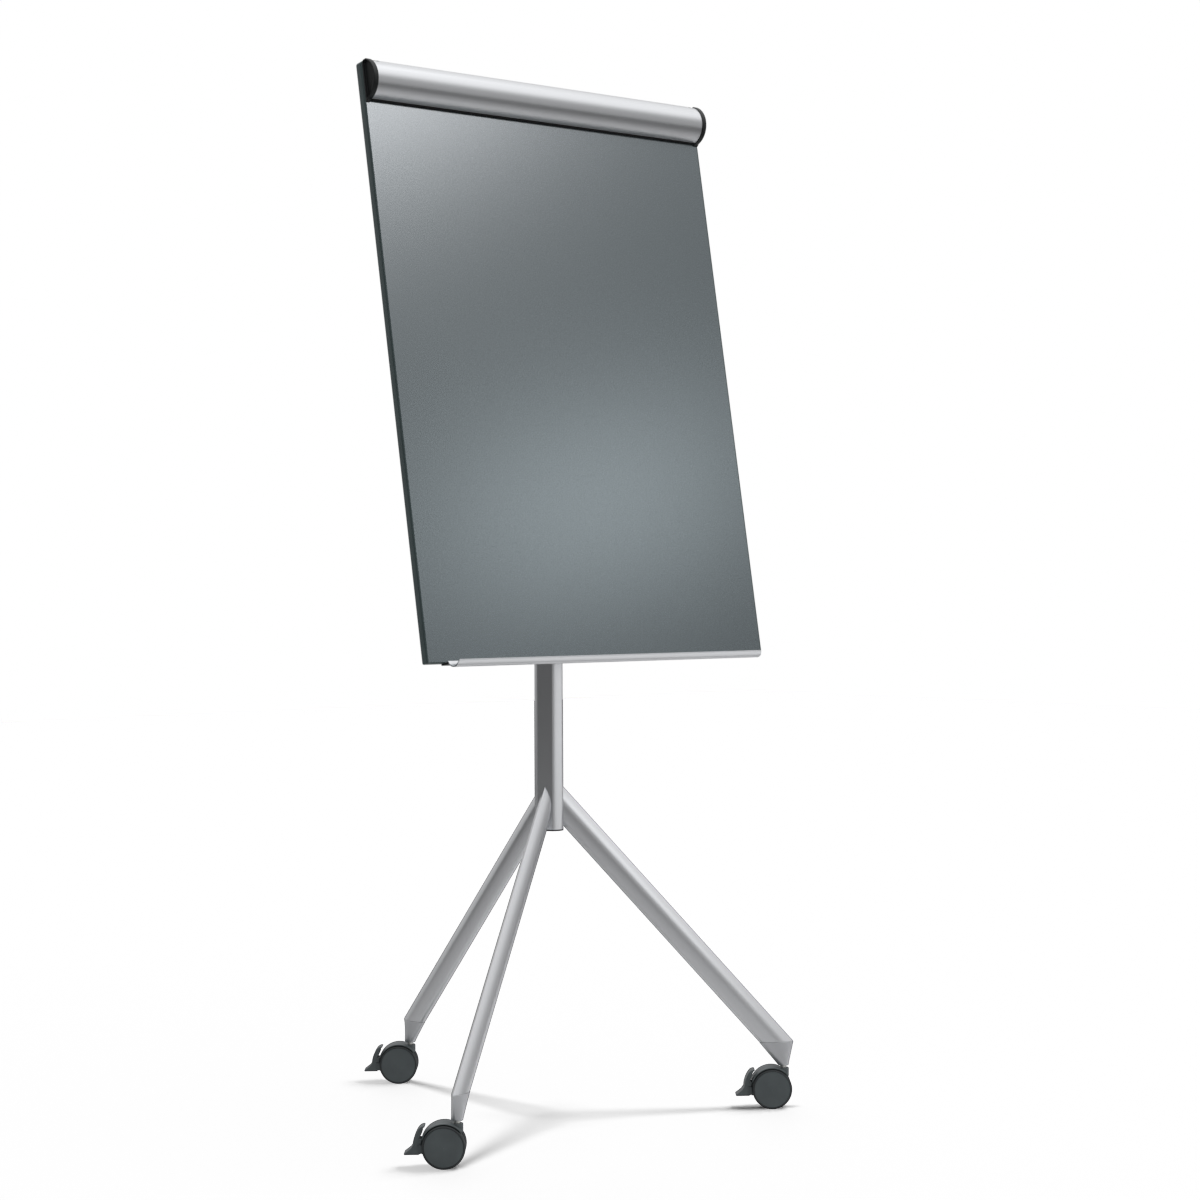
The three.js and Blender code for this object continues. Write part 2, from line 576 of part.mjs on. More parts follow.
// The bracket on the board's face that holds one end of the hinge rod.
function hingeBracket(side) {
  const from = CLAMP_ENDS.knuckleHalf + 1;
  const to = from + CLAMP_ENDS.bracket;
  const plate = box([from, -2, CLAMP.pivotZ - 14], [to, -GAP, CLAMP.pivotZ + 6]);
  const eye = bar("x", CLAMP.knuckle, from, to, [0, CLAMP.pivotY, CLAMP.pivotZ]);
  const neck = box([from, CLAMP.pivotY, CLAMP.pivotZ - 5.8], [to, -1, CLAMP.pivotZ + 5.8]);
  const bore = bar("x", CLAMP.rod + GAP, from - 1, to + 1, [0, CLAMP.pivotY, CLAMP.pivotZ]);
  const whole = cut(union(plate, eye, neck), bore);
  return piece(`hinge_bracket_${side.name}`, "blackPlastic", side.sign > 0 ? whole : whole.mirror([1, 0, 0]));
}

// An extruded rail with a T-slot that the paper hooks run in.
function hookRail() {
  const half = RAIL.length / 2;
  const [bottom, top] = [RAIL.bottom, RAIL.bottom + RAIL.height];
  const middle = (bottom + top) / 2;
  const body = box([-half, -GAP - RAIL.depth, bottom], [half, -GAP, top]);
  const [back, front] = [-GAP - RAIL.wall, -GAP - RAIL.depth + RAIL.wall];
  const cavity = box([-half - 1, front, bottom + RAIL.wall], [half + 1, back, top - RAIL.wall]);
  const [slotLow, slotHigh] = [middle - RAIL.slot / 2, middle + RAIL.slot / 2];
  const mouth = box([-half - 1, -RAIL.depth - 5, slotLow], [half + 1, back, slotHigh]);
  return piece("hook_rail", "anodised", cut(body, cavity, mouth));
}

// A paper hook: a slider in the rail, a neck through its slot, a thumb block and a pin that slants up.
function paperHook(side) {
  const x = side.sign * HOOK.x;
  const half = HOOK.width / 2;
  const middle = RAIL.bottom + RAIL.height / 2;
  const front = -GAP - RAIL.depth;
  const slideHalf = RAIL.height / 2 - RAIL.wall - RUNNING;
  const neckHalf = RAIL.slot / 2 - RUNNING;
  const slideFront = front + RAIL.wall + RUNNING;
  const slideBack = -GAP - RAIL.wall - RUNNING;
  const slide = box([x - half, slideFront, middle - slideHalf], [x + half, slideBack, middle + slideHalf]);
  const neck = box([x - half, front - 2, middle - neckHalf], [x + half, slideBack, middle + neckHalf]);
  const block = box([x - half, front - 4.5, middle - 9], [x + half, front - RUNNING, middle + 9]);
  const pin = bar("y", HOOK.pinRadius, -HOOK.pinLength, 0, [0, 0, 0], 16);
  const tip = solidOf(new THREE.SphereGeometry(HOOK.pinRadius, 16, 8)).translate([0, -HOOK.pinLength, 0]);
  const slanted = union(pin, tip).rotate([-32, 0, 0]).translate([x, front - 2.5, middle + 1]);
  return piece(`paper_hook_${side.name}`, "blackPlastic", union(slide, neck, block, slanted));
}

// ---- Pen tray and head, upright in the object's frame ----

const tiltMatrix = new THREE.Matrix4()
  .makeTranslation(0, BOARD.frontY, BOARD.bottomZ)
  .multiply(new THREE.Matrix4().makeRotationX(-TILT));

// A box that is square to the board, placed in the object's upright frame.
function leaningBox(low, high) {
  const size = high.map((value, i) => value - low[i]);
  const middle = high.map((value, i) => (value + low[i]) / 2);
  const geometry = new THREE.BoxGeometry(...size).translate(...middle).applyMatrix4(tiltMatrix);
  return solidOf(geometry);
}

// The tray: a flange on the carrier's front ledge, a shallow trough and a lip. The lip's left end slants
// at its top and its right end is round at its foot.
function penTray() {
  const ledge = (y, z) => {
    const placed = new THREE.Vector3(0, y, z).applyMatrix4(tiltMatrix);
    return [placed.y, placed.z];
  };
  const [flangeY, flangeZ] = ledge(CARRIER.front - GAP, TRAY.wall);
  const [deepY, deepZ] = [BOARD.frontY - TRAY.deepest, BOARD.bottomZ - TRAY.drop];
  const [lipY, lipZ] = [BOARD.frontY - TRAY.depth, BOARD.bottomZ + TRAY.lip];
  const [footY, footZ] = ledge(CARRIER.front - GAP, -CARRIER.thickness);
  const [low, inside] = [deepZ - TRAY.wall, lipY + TRAY.wall];
  const shape = new THREE.Shape();
  shape.moveTo(...ledge(-2 * GAP, 0));
  shape.lineTo(...ledge(-2 * GAP, TRAY.wall));
  shape.lineTo(flangeY, flangeZ);
  shape.bezierCurveTo(flangeY - 3, flangeZ - 4, deepY + 6, deepZ, deepY, deepZ);
  shape.bezierCurveTo(deepY - 7, deepZ, inside, deepZ + 3, inside, lipZ);
  shape.lineTo(lipY, lipZ);
  shape.bezierCurveTo(lipY, low + 0.6, lipY + 1, low, deepY, low);
  shape.bezierCurveTo(deepY + 5, low, footY - 3, footZ - 2, footY, footZ);
  shape.lineTo(...ledge(CARRIER.front - GAP, 0));
  shape.closePath();
  const half = TRAY.length / 2;
  const body = sideways(shape, -half, half, 8);
  const slant = polygon([
    [TRAY.endSlant - half, lipZ + 1],
    [-half - 1, lipZ + 1],
    [-half - 1, deepZ + 1],
    [-half, deepZ + 1],
  ]);
  const slanted = across(slant, 20).translate([0, lipY - 8, 0]);
  const { endRound } = TRAY;
  const corner = box([half - endRound, lipY - 1, low - 1], [half + 1, deepY, low + endRound]);
  const roundCentre = [half - endRound, 0, low + endRound];
  const rounded = cut(corner, bar("y", endRound, lipY - 2, deepY + 1, roundCentre, FINE));
  return piece("pen_tray", "anodised", cut(body, slanted, rounded));
}

// The strip under the board's lower edge that the tray is fixed to.
function trayCarrier() {
  const half = TRAY.length / 2;
  const strip = leaningBox([-half, CARRIER.front, -GAP - CARRIER.thickness], [half, CARRIER.back, -GAP]);
  return piece("tray_carrier", "blackPlastic", strip);
}

function headSocket() {
  const top = MAST.top + GAP + SOCKET.roof;
  const { halfWidth, frontY, backY, bottom } = SOCKET;
  const outline = roundedRectangle([-halfWidth, frontY], [halfWidth, backY], 6);
  const block = upright(outline, bottom, top, 6);
  const bore = flattedBar(MAST, GAP, bottom - 1, MAST.top + GAP);
  const boltHoles = HEAD_BOLTS.map((bolt) =>
    bar("x", HEAD_BOLT.radius + GAP, -halfWidth - 1, halfWidth + 1, [0, HEAD_BOLT.y, bolt.z]),
  );
  return piece("head_socket", "anodised", cut(block, bore, ...boltHoles));
}

// The bracket: a plate on the board's back with a cheek on each side of the socket.
function tiltBracket() {
  const plateFront = BOARD.thickness + GAP;
  const plateBack = plateFront + BRACKET.sheet;
  const { plateHalfWidth, plateBottom, plateTop } = BRACKET;
  const plate = leaningBox([-plateHalfWidth, plateFront, plateBottom], [plateHalfWidth, plateBack, plateTop]);
  const corner = (z) => new THREE.Vector3(0, plateBack - 1, z).applyMatrix4(tiltMatrix);
  const [low, high] = [corner(plateBottom + 6), corner(plateTop - 6)];
  const outline = polygon([
    [SOCKET.backY, SOCKET.bottom + 3],
    [SOCKET.backY, MAST.top + 4],
    [high.y, high.z],
    [low.y, low.z],
  ]);
  const inner = SOCKET.halfWidth + GAP;
  const cheeks = [-1, 1].map((side) => {
    const ends = [side * inner, side * (inner + BRACKET.sheet)].sort((a, b) => a - b);
    return sideways(outline, ...ends);
  });
  const boltHoles = HEAD_BOLTS.map((bolt) =>
    bar("x", HEAD_BOLT.radius + GAP, -inner - 10, inner + 10, [0, HEAD_BOLT.y, bolt.z]),
  );
  return piece("tilt_bracket", "steel", cut(union(plate, ...cheeks), ...boltHoles));
}

function headBolt(bolt) {
  const face = SOCKET.halfWidth + GAP + BRACKET.sheet + GAP;
  const at = [0, HEAD_BOLT.y, bolt.z];
  const shank = bar("x", HEAD_BOLT.radius, -face - 1, face + 1, at);
  const head = bar("x", HEAD_BOLT.headRadius, face, face + HEAD_BOLT.head, at);
  const nut = bar("x", HEAD_BOLT.headRadius, -face - HEAD_BOLT.head, -face, at, 6);
  return piece(bolt.name, "steel", union(shank, head, nut));
}

// ---- Assembly ----

const easel = new THREE.Group();
easel.position.set(COLUMN_X, COLUMN_Y, 0);

easel.add(columnTube(), columnEndPlug(), guideBush(), clampCollar(), heightKnob());
easel.add(mast(), mastGlide(), headSocket(), tiltBracket(), ...HEAD_BOLTS.map(headBolt));
easel.add(penTray(), trayCarrier());

const SIDES = [
  { name: "left", sign: -1 },
  { name: "right", sign: 1 },
];
const WHEELS = [
  { name: "front", sign: 1 },
  { name: "back", sign: -1 },
];

for (const leg of LEGS) {
  const legGroup = new THREE.Group();
  legGroup.rotation.z = radians(leg.angle);
  legGroup.add(legTube(leg), legPlug(leg), legBolt(leg), foot(leg));
  const castor = new THREE.Group();
  const turn = radians(leg.angle);
  castor.position.set(FOOT.stemX * Math.cos(turn), FOOT.stemX * Math.sin(turn), 0);
  castor.rotation.z = radians(CASTOR.heading);
  castor.add(castorStem(leg), castorHood(leg), castorAxle(leg), brakePedal(leg));
  castor.add(...WHEELS.map((side) => castorWheel(leg, side)));
  easel.add(legGroup, castor);
}

const board = new THREE.Group();
board.position.set(0, BOARD.frontY, BOARD.bottomZ);
board.rotation.x = -TILT;
board.add(...edgeBands(), ...boardLayers());
board.add(clampCover(), rubberStrip(), hingeRod(), hookRail());
board.add(...SIDES.flatMap((side) => [clampEndCap(side), hingeBracket(side), paperHook(side)]));
easel.add(board);

const part = new THREE.Group();
part.add(easel);

export default part;
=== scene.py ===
import json
import math

import bmesh
import bpy
from mathutils import Matrix, Vector

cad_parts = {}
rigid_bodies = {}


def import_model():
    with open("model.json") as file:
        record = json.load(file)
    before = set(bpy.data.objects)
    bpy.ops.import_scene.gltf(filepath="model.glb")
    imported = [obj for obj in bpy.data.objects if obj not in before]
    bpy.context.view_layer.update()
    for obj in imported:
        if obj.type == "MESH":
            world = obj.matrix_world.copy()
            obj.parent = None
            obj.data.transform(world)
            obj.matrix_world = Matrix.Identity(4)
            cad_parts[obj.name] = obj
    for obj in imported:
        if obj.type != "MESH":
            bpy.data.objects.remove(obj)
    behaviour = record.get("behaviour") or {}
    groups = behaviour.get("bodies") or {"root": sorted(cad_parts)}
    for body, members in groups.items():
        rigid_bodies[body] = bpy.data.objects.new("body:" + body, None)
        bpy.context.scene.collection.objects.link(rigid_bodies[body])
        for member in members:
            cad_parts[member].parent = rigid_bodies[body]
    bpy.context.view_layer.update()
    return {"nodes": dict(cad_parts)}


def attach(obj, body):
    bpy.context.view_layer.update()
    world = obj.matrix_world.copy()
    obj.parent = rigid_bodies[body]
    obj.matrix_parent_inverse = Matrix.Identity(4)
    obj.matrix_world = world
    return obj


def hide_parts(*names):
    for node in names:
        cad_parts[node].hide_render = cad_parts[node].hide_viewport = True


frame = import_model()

# ---- Driving dimensions, in millimetres ----

MM = 0.001
GAP = 0.3
COLUMN_AT = Vector((25, -126, 0))
COLUMN = {"radius": 26, "flat": 22, "wall": 2.6, "bottom": 509, "top": 1030}
MAST = {"radius": 18.5, "flat": 16, "wall": 2.5, "bottom": 740, "top": 1318}
COLLAR = {"radius": 33, "bottom": 988, "shoulder": 1034.2, "top": 1045}
KNOB = {
    "height": 1010, "bore": 4.4, "stud": 4, "boss": 11, "boss_end": 44,
    "depth": 18, "radius": 21, "lobe": 3, "lobes": 5,
}
LEG_ANGLES = {"left": -150, "right": -30, "rear": 90}
LEG = {"width": 24, "height": 46, "wall": 2.6, "start_x": 22.3, "z": 551, "seam_x": 410, "seam_z": 118}
LEG_SLOPE = math.atan2(LEG["z"] - LEG["seam_z"], LEG["seam_x"] - COLUMN["flat"])
FOOT = {"stem_x": 423, "bottom_z": 75.5, "bottom_radius": 9.5}
CASTOR = {"heading": 140, "trail": 21, "wheel": 35, "half_width": 24, "web": 7}
HOOD = {
    "radius": 38.4, "wall": 1.8, "half_width": 20, "top": 71, "boss": 9.5,
    "start": 20, "end": 140, "bottom": 22,
}
WEB = {"radius": 33, "start": -19.8}
PEDAL = {"x": 60.5, "z": 43, "eye": 5, "half_width": 13, "inner": 42.2, "outer": 50}
BOARD = {
    "width": 750, "height": 1027, "thickness": 16.5, "corner": 2.5, "top_corner": 6,
    "front_y": -150.1, "z": 814,
}
LEAN = 10.18
EDGE = 1.2
GROOVE = 3.6
SHEET = {"inset": 0.4, "thickness": 0.8}
CLAMP = {
    "pivot_y": -7, "pivot_z": 1020.2, "knuckle": 6, "knuckle_half": 349.7, "bore": 3.4, "y": 4, "z": 993.2,
    "radius": 35.4, "wall": 2.2,
}
CAP = {"width": 9, "overhang": 1.4, "bottom": 954, "rim": 2.4, "dish": 4, "back": 116}
# Angles round the clamp's own centre, in degrees: its lip, and its back edge in the middle and at the ends.
COVER = {"lip": 256, "back": 109, "end_back": 127}
RUBBER = {"back": -0.7, "depth": 4.9, "bottom": 957, "top": 958.8}
TRAY = {
    "length": 683, "depth": 34.5, "drop": 4.1, "lip": 7.2, "wall": 1.8,
    "deepest": 22.4, "slant": 6, "round": 8,
}
CARRIER = {"front": -10, "thickness": 3.1}

# From this radius out the wheel takes the darker tread material: the tread itself, and over the face's
# rounded rim a dark ring that is painted shade at the wheel's edge.
TREAD_AND_RIM_SHADE_FROM = 31.8

ARC_STEPS = 20
WHEEL_SIDES = 72

# Degrees between two faces.
SOFTENED_ABOVE = 38
SHARP_ABOVE = 30

# ---- Places ----

STAND = Matrix.Diagonal((MM, MM, MM, 1)) @ Matrix.Translation(COLUMN_AT)
TILT = math.radians(LEAN)
PANEL = (
    STAND @ Matrix.Translation((0, BOARD["front_y"], BOARD["z"])) @ Matrix.Rotation(-TILT, 4, "X")
)


def leg_place(name):
    return STAND @ Matrix.Rotation(math.radians(LEG_ANGLES[name]), 4, "Z")


def castor_place(name):
    angle = math.radians(LEG_ANGLES[name])
    stem = Vector((math.cos(angle), math.sin(angle), 0)) * FOOT["stem_x"]
    return STAND @ Matrix.Translation(stem) @ Matrix.Rotation(math.radians(CASTOR["heading"]), 4, "Z")


# ---- Materials ----


def finish_of(
    name, base, metallic, roughness, stretch=(1, 1, 1), along=None, grain=0.02, variation=0.08, scale=60
):
    """A surface with uneven colour and roughness and a fine grain, drawn out along a direction if brushed."""
    material = bpy.data.materials.new(name)
    material.use_nodes = True
    nodes, links = material.node_tree.nodes, material.node_tree.links
    shader = nodes["Principled BSDF"]
    place = nodes.new("ShaderNodeTexCoord")
    turn = nodes.new("ShaderNodeMapping")
    turn.vector_type = "TEXTURE"
    if along is not None:
        turn.inputs["Rotation"].default_value = Vector(along).to_track_quat("Z", "Y").to_euler()
    stretched = nodes.new("ShaderNodeMapping")
    stretched.inputs["Scale"].default_value = stretch
    links.new(place.outputs["Object"], turn.inputs["Vector"])
    links.new(turn.outputs["Vector"], stretched.inputs["Vector"])

    def noise(size, detail):
        node = nodes.new("ShaderNodeTexNoise")
        node.inputs["Scale"].default_value = size
        node.inputs["Detail"].default_value = detail
        links.new(stretched.outputs["Vector"], node.inputs["Vector"])
        return node

    def spread(source, low, high):
        node = nodes.new("ShaderNodeMapRange")
        node.inputs["From Min"].default_value = 0.3
        node.inputs["From Max"].default_value = 0.7
        node.inputs["To Min"].default_value = low
        node.inputs["To Max"].default_value = high
        links.new(source.outputs["Fac"], node.inputs["Value"])
        return node

    cloud = noise(scale * 0.15, 3)
    fine = noise(scale * 8, 5)
    colour = nodes.new("ShaderNodeMix")
    colour.data_type = "RGBA"
    colour.inputs["A"].default_value = [c * (1 - variation) for c in base] + [1]
    colour.inputs["B"].default_value = [min(1, c * (1 + variation)) for c in base] + [1]
    links.new(spread(cloud, 0, 1).outputs["Result"], colour.inputs["Factor"])
    links.new(colour.outputs["Result"], shader.inputs["Base Color"])
    uneven = spread(fine, roughness - 0.02, roughness + 0.02)
    links.new(uneven.outputs["Result"], shader.inputs["Roughness"])
    bump = nodes.new("ShaderNodeBump")
    bump.inputs["Strength"].default_value = grain * 10
    bump.inputs["Distance"].default_value = 0.0002
    links.new(fine.outputs["Fac"], bump.inputs["Height"])
    links.new(bump.outputs["Normal"], shader.inputs["Normal"])
    shader.inputs["Metallic"].default_value = metallic
    return material


BRUSHED = (1, 1, 0.02)


def aluminium(name, along):
    silver = (0.72, 0.73, 0.75)
    return finish_of(name, silver, 0.9, 0.3, BRUSHED, along, grain=0.0012, variation=0.012, scale=80)


def leg_direction(name):
    angle = math.radians(LEG_ANGLES[name])
    level = Vector((math.cos(angle), math.sin(angle), 0)) * math.cos(LEG_SLOPE)
    return level - Vector((0, 0, math.sin(LEG_SLOPE)))


UPRIGHT = (0, 0, 1)
LEVEL = (1, 0, 0)
ALUMINIUM_UPRIGHT = aluminium("anodised_upright", UPRIGHT)
ALUMINIUM_LEVEL = aluminium("anodised_level", LEVEL)
ALUMINIUM_LEG = {name: aluminium("anodised_leg_" + name, leg_direction(name)) for name in LEG_ANGLES}
CAST = finish_of("cast_aluminium", (0.57, 0.58, 0.6), 0.85, 0.34, grain=0.015, variation=0.03, scale=120)
FACE = finish_of("satin_face", (0.17, 0.198, 0.21), 0.85, 0.27, grain=0.0006, variation=0.005, scale=180)
BACK = finish_of("back_sheet", (0.42, 0.43, 0.44), 0.7, 0.45, (1, 1, 0.05), UPRIGHT, 0.01, 0.04, 60)
EDGE_BAND = finish_of("edge_band", (0.07, 0.103, 0.106), 0.0, 0.45, grain=0.03, variation=0.08, scale=150)
BLACK = finish_of("black_moulding", (0.007, 0.009, 0.01), 0.0, 0.45, grain=0.05, variation=0.15, scale=200)
GREY = finish_of("castor_moulding", (0.088, 0.104, 0.109), 0.0, 0.42, grain=0.04, variation=0.12, scale=200)
# Darker tread, also laid over the rim of the wheel face as painted shade.
TREAD_AND_RIM_SHADE = finish_of("castor_tread_and_rim_shade", (0.03, 0.035, 0.037), 0.0, 0.6, grain=0.05, variation=0.15, scale=200)
RUBBER_SKIN = finish_of("rubber", (0.01, 0.01, 0.011), 0.0, 0.75, grain=0.06, variation=0.2, scale=250)
ZINC = finish_of("zinc_steel", (0.62, 0.62, 0.6), 1.0, 0.28, grain=0.03, variation=0.1, scale=160)
PLATE = finish_of("bracket_steel", (0.05, 0.053, 0.056), 0.1, 0.5, grain=0.08, variation=0.1, scale=220)
CORE = finish_of("chipboard", (0.45, 0.33, 0.2), 0.0, 0.85, grain=0.1, variation=0.3, scale=300)

# ---- Mesh building ----


def merged(*parts):
    """Joins (points, faces) parts into one."""
    points, faces = [], []
    for part_points, part_faces in parts:
        start = len(points)
        points += part_points
        faces += [[start + i for i in face] for face in part_faces]
    return points, faces


def loft(rings, closed=False):
    """A skin through rings of as many points each, capped at both ends unless it closes on itself."""
    count = len(rings[0])
    points = [tuple(point) for ring in rings for point in ring]
    faces = []
    pairs = len(rings) if closed else len(rings) - 1
    for k in range(pairs):
        low, high = k * count, ((k + 1) % len(rings)) * count
        for i in range(count):
            j = (i + 1) % count
            faces.append([low + i, low + j, high + j, high + i])
    if not closed:
        faces.append(list(range(count))[::-1])
        faces.append([(len(rings) - 1) * count + i for i in range(count)])
    return points, faces


def lathe(profile, axis, at, sides=WHEEL_SIDES):
    """Turns a closed (radius, distance) profile that doesn't meet its axis."""
    rings = []
    for k in range(sides):
        c, s = math.cos(2 * math.pi * k / sides), math.sin(2 * math.pi * k / sides)
        ring = []
        for radius, far in profile:
            a, b = radius * c, radius * s
            spot = {"x": (far, a, b), "y": (b, far, a), "z": (a, b, far)}
            ring.append(Vector(spot[axis]) + Vector(at))
        rings.append(ring)
    return loft(rings, closed=True)


def bar(radius, axis, low, high, at, edge=0.5, sides=32):
    """A solid round bar with rounded edges."""
    point, part = 0.02, edge * 0.3
    steps = [(point, low), (radius - edge, low), (radius - part, low + part), (radius, low + edge)]
    steps += [(radius, high - edge), (radius - part, high - part), (radius - edge, high), (point, high)]
    rings = []
    for r, far in steps:
        ring = []
        for k in range(sides):
            c, s = r * math.cos(2 * math.pi * k / sides), r * math.sin(2 * math.pi * k / sides)
            spot = {"x": (far, c, s), "y": (s, far, c), "z": (c, s, far)}
            ring.append(Vector(spot[axis]) + Vector(at))
        rings.append(ring)
    return loft(rings)


def prism(outline, put, low, high):
    """A flat outline pushed from low to high; put(a, b, far) gives the point in space."""
    return loft([[put(a, b, far) for a, b in outline] for far in (low, high)])


def tube(outer, inner):
    """A skin down the outside and back up the inside of a tube. Both are rings from one end to the other."""
    return loft(list(outer) + list(reversed(inner)), closed=True)


def piece(name, shape, place, material, body, nodes=(), bevel=0.0):
    """Makes one visible piece with soft edges, and hands it to the body that it moves with."""
    points, faces = shape
    mesh = bpy.data.meshes.new(name)
    mesh.from_pydata([place @ Vector(point) for point in points], [], faces)
    return dress(name, mesh, material, body, nodes, bevel)


def dress(name, mesh, material, body, nodes, bevel, segments=3):
    """Welds and softens a mesh, gives it its material, and hands it to its body in place of its nodes."""
    shape = bmesh.new()
    shape.from_mesh(mesh)
    bmesh.ops.remove_doubles(shape, verts=shape.verts, dist=1e-7)
    bmesh.ops.recalc_face_normals(shape, faces=shape.faces)
    shape.to_mesh(mesh)
    shape.free()
    made = bpy.data.objects.new(name, mesh)
    bpy.context.scene.collection.objects.link(made)
    if bevel:
        soften = made.modifiers.new("soft_edges", "BEVEL")
        soften.width = bevel * MM
        soften.segments = segments
        soften.limit_method = "ANGLE"
        soften.angle_limit = math.radians(SOFTENED_ABOVE)
        soften.harden_normals = False
        view = bpy.context.evaluated_depsgraph_get()
        final = bpy.data.meshes.new_from_object(made.evaluated_get(view))
        made.modifiers.clear()
        made.data = final
    made.data.materials.clear()
    made.data.materials.append(material)
    made.data.shade_smooth()
    made.data.set_sharp_from_angle(angle=math.radians(SHARP_ABOVE))
    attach(made, body)
    if nodes:
        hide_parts(*nodes)
    return made


def refined(node, name, material, body, bevel):
    """The CAD node's own shape with its flat faces made whole and its edges softened."""
    mesh = frame["nodes"][node].data.copy()
    shape = bmesh.new()
    shape.from_mesh(mesh)
    bmesh.ops.remove_doubles(shape, verts=shape.verts, dist=2e-6)
    limit = math.radians(0.6)
    bmesh.ops.dissolve_limit(shape, angle_limit=limit, verts=shape.verts, edges=shape.edges)
    shape.to_mesh(mesh)
    shape.free()
    return dress(name, mesh, material, body, [node], bevel, 2)


def dress_node(node, material):
    """A CAD node that stays gets a finished material."""
    mesh = frame["nodes"][node].data
    if mesh.materials:
        mesh.materials[0] = material
    else:
        mesh.materials.append(material)


# ---- Outlines ----


def arc(x, y, radius, start, end, steps=ARC_STEPS):
    turns = [math.radians(start + (end - start) * k / steps) for k in range(steps + 1)]
    return [(x + radius * math.cos(turn), y + radius * math.sin(turn)) for turn in turns]


def curve(a, b, c, d, steps=10):
    """Points of a cubic curve, without its first."""
    made = []
    for k in range(1, steps + 1):
        t = k / steps
        weights = ((1 - t) ** 3, 3 * (1 - t) ** 2 * t, 3 * (1 - t) * t * t, t**3)
        made.append(tuple(sum(w * p[i] for w, p in zip(weights, (a, b, c, d))) for i in (0, 1)))
    return made


def flatted(radius, flat):
    """The outline of column and mast: a circle with a flat towards each leg."""
    half = math.degrees(math.acos(flat / radius))
    outline = []
    for angle in LEG_ANGLES.values():
        outline += arc(0, 0, radius, angle + half, angle + 120 - half)
    return outline


def level_ring(outline, z):
    return [(x, y, z) for x, y in outline]


def leg_outline(inset, count=88):
    """The section of a leg: round below, and rising to a ridge above."""
    made = []
    quarter = math.pi / 2
    for i in range(count):
        turn = 2 * math.pi * i / count
        rise = 1 - abs(turn - quarter) / quarter if turn < math.pi else math.sin(turn)
        made.append(((LEG["width"] / 2 - inset) * math.cos(turn), (LEG["height"] / 2 - inset) * rise))
    return made


def leg_point(corner, x=None, z=None):
    """Where the leg's line through a point of its outline reaches an upright cut at x or a level cut at z."""
    side, rise = corner
    start_x = LEG["start_x"] + rise * math.sin(LEG_SLOPE)
    start_z = LEG["z"] + rise * math.cos(LEG_SLOPE)
    run = (x - start_x) / math.cos(LEG_SLOPE) if x is not None else (start_z - z) / math.sin(LEG_SLOPE)
    return (start_x + run * math.cos(LEG_SLOPE), side, start_z - run * math.sin(LEG_SLOPE))


# ---- Stand ----


def make_column():
    heights = (COLUMN["bottom"], COLUMN["bottom"] + 0.5, COLUMN["top"])
    insets = (0.4, 0, 0)
    radius, flat, wall = COLUMN["radius"], COLUMN["flat"], COLUMN["wall"]
    outer = [level_ring(flatted(radius - d, flat - d), z) for z, d in zip(heights, insets)]
    inner = [level_ring(flatted(radius - wall, flat - wall), z) for z in heights]
    shape = tube(outer, inner)
    piece("column_profile", shape, STAND, ALUMINIUM_UPRIGHT, "stand", ["column_tube"])
    refined("column_end_plug", "column_plug", BLACK, "stand", 0.6)
    refined("guide_bush", "mast_bush", BLACK, "stand", 0.3)


def make_collar():
    radius, edge = COLLAR["radius"], 1.5
    around = len(flatted(MAST["radius"], MAST["flat"]))

    def circle(r, z):
        turns = [math.radians(-150 + 360 * (i + 0.5) / around) for i in range(around)]
        return [(r * math.cos(turn), r * math.sin(turn), z) for turn in turns]

    bottom, shoulder, top = COLLAR["bottom"], COLLAR["shoulder"], COLLAR["top"]
    outer = [circle(radius - edge, bottom), circle(radius - 0.4, bottom + 0.4), circle(radius, bottom + edge)]
    for z in (bottom + 14, top - 14):
        outer += [circle(radius, z - 1.2), circle(radius - 0.7, z - 0.5), circle(radius - 0.7, z + 0.5)]
        outer += [circle(radius, z + 1.2)]
    outer += [circle(radius, top - edge), circle(radius - 0.4, top - 0.4), circle(radius - edge, top)]
    lower = flatted(COLUMN["radius"] + GAP, COLUMN["flat"] + GAP)
    upper = flatted(MAST["radius"] + 0.8, MAST["flat"] + 0.8)
    inner = [level_ring(lower, bottom), level_ring(lower, shoulder), level_ring(upper, shoulder + 0.01)]
    inner += [level_ring(upper, top)]
    boss, bore, end = KNOB["boss"], KNOB["bore"], KNOB["boss_end"]
    root = COLLAR["radius"] - 6
    profile = [(bore, root), (boss, root), (boss, end - 1), (boss - 1, end), (bore, end)]
    shape = merged(tube(outer, inner), lathe(profile, "y", (0, 0, KNOB["height"]), 48))
    piece("height_collar", shape, STAND, BLACK, "stand", ["clamp_collar"])


def make_knob():
    back = KNOB["boss_end"] + 2
    steps = 100

    def star(inset, y):
        ring = []
        for k in range(steps):
            turn = 2 * math.pi * k / steps
            radius = KNOB["radius"] + KNOB["lobe"] * math.cos(KNOB["lobes"] * turn) - inset
            ring.append((radius * math.cos(turn), y, KNOB["height"] + radius * math.sin(turn)))
        return ring

    end = back + KNOB["depth"]
    levels = [(3, back), (0.9, back + 0.7), (0, back + 2.5), (0, end - 4), (1, end - 1.6), (3, end - 0.3)]
    levels += [(9, end), (10, end - 0.9), (15, end - 1)]
    head = loft([star(inset, y) for inset, y in levels])
    hub = bar(KNOB["boss"] - 2, "y", KNOB["boss_end"] + 0.4, back + 1, (0, 0, KNOB["height"]), 0.3)
    stud = bar(KNOB["stud"], "y", MAST["flat"] + GAP, back + 1, (0, 0, KNOB["height"]), 0.6)
    piece("star_knob", merged(head, hub, stud), STAND, BLACK, "knob", ["height_knob"])


